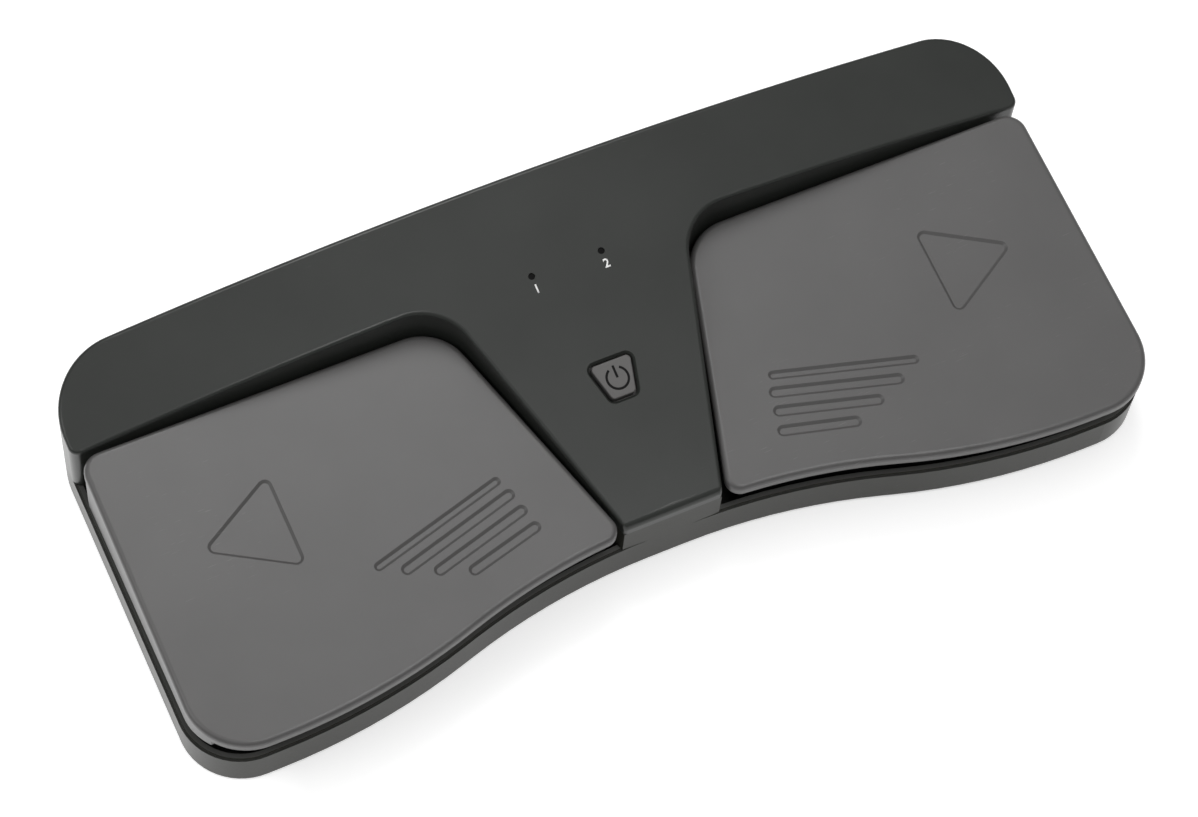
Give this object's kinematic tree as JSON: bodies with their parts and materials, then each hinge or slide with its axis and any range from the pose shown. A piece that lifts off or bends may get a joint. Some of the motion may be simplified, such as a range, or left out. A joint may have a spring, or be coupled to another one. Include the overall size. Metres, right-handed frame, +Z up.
{
  "type": "wireless page turner pedal",
  "caption": "Two-pedal wireless page turner: a low black tray and sloping T-shaped cover with sprung grey foot pedals hinged at the back.",
  "frame": {"origin": "under the middle of the outline, on the surface that the rubber feet stand on", "axes": "+X to the right across the two pedals, -Y to the front where the feet press, +Z up"},
  "size_m": [0.22, 0.0922, 0.0379],
  "materials": {
    "cover_black": "fine satin grain",
    "tray_black": "fine satin grain",
    "carrier_black": "matte",
    "tread_grey": "matte, soft touch",
    "button_grey": "matte",
    "clear_plastic": "clear",
    "steel": "bright",
    "spring_steel": "drawn wire",
    "rubber_black": "matte",
    "board_green": "solder mask",
    "switch_black": "moulded",
    "chip_black": "matte",
    "shield_tin": "tinned",
    "battery_foil": "satin foil",
    "led_white": "gloss"
  },
  "bodies": {
    "housing": {"base_shell": "tray_black", "top_cover": "cover_black", "left_hinge_pin": "steel", "left_return_spring": "spring_steel", "left_bumper": "rubber_black", "left_switch_board": "board_green", "left_pedal_switch": "switch_black", "left_switch_board_screws": "steel", "left_light_pipe": "clear_plastic", "foot_back_left": "rubber_black", "foot_front_left": "rubber_black", "right_hinge_pin": "steel", "right_return_spring": "spring_steel", "right_bumper": "rubber_black", "right_switch_board": "board_green", "right_pedal_switch": "switch_black", "right_switch_board_screws": "steel", "right_light_pipe": "clear_plastic", "foot_back_right": "rubber_black", "foot_front_right": "rubber_black", "power_switch": "switch_black", "key_board": "board_green", "key_board_screws": "steel", "indicator_leds": "led_white", "main_board": "board_green", "main_board_screws": "steel", "radio_module": "shield_tin", "charging_chip": "chip_black", "charging_socket": "shield_tin", "battery_pack": "battery_foil", "case_screws": "steel"},
    "left_pedal": {"left_tread": "tread_grey", "left_carrier": "carrier_black"},
    "right_pedal": {"right_tread": "tread_grey", "right_carrier": "carrier_black"},
    "power_button": {"power_button": "button_grey"}
  },
  "joints": [
    {"name": "left_pedal_hinge", "type": "hinge", "parent": "housing", "child": "left_pedal", "pos_m": [-0.0695, 0.0331, 0.0148], "axis": [1, 0, 0], "range_deg": [0, 2.5], "stiffness_Nm_per_rad": 5, "springref_deg": -1.72, "deforming": ["left_return_spring"]},
    {"name": "right_pedal_hinge", "type": "hinge", "parent": "housing", "child": "right_pedal", "pos_m": [0.0695, 0.0331, 0.0148], "axis": [1, 0, 0], "range_deg": [0, 2.5], "stiffness_Nm_per_rad": 5, "springref_deg": -1.72, "deforming": ["right_return_spring"]},
    {"name": "power_button_press", "type": "slide", "parent": "housing", "child": "power_button", "axis": [0, 0.2181, -0.9759], "range_m": [0, 0.0005], "stiffness_N_per_m": 400, "springref_m": -0.0005}
  ]
}
